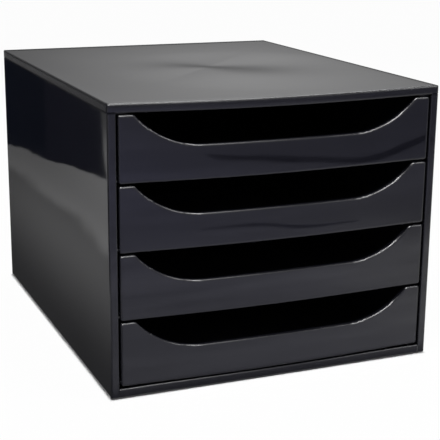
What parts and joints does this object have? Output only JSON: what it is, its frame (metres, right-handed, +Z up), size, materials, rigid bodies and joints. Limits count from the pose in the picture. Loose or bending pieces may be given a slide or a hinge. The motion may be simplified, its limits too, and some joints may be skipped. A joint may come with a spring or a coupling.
{
  "type": "desk letter tray cabinet with open-fronted drawers",
  "caption": "Free-standing black plastic desk cabinet whose open trays slide out forwards, each with a wide scooped front for A4+ paper.",
  "frame": {"origin": "on the table, under the centre of the cabinet's footprint", "axes": "+Z up; the drawers open towards -Y; X runs across the cabinet, and the part is symmetric about X = 0"},
  "size_m": [0.284, 0.347, 0.234],
  "materials": {
    "casing": "glossy moulded",
    "drawer": "satin gloss",
    "rubber": "matt"
  },
  "bodies": {
    "root": {"top_panel": "casing", "base_panel": "casing", "back_panel": "casing", "left_side_panel": "casing", "right_side_panel": "casing", "left_runner_rack": "casing", "right_runner_rack": "casing", "foot_front_left": "rubber", "foot_front_right": "rubber", "foot_rear_left": "rubber", "foot_rear_right": "rubber"},
    "drawer_1": {"drawer_1": "drawer"},
    "drawer_2": {"drawer_2": "drawer"},
    "drawer_3": {"drawer_3": "drawer"},
    "drawer_4": {"drawer_4": "drawer"}
  },
  "joints": [
    {"name": "drawer_1_slide", "type": "slide", "parent": "root", "child": "drawer_1", "axis": [0, -1, 0], "range_m": [0, 0.25]},
    {"name": "drawer_2_slide", "type": "slide", "parent": "root", "child": "drawer_2", "axis": [0, -1, 0], "range_m": [0, 0.25]},
    {"name": "drawer_3_slide", "type": "slide", "parent": "root", "child": "drawer_3", "axis": [0, -1, 0], "range_m": [0, 0.25]},
    {"name": "drawer_4_slide", "type": "slide", "parent": "root", "child": "drawer_4", "axis": [0, -1, 0], "range_m": [0, 0.25]}
  ]
}
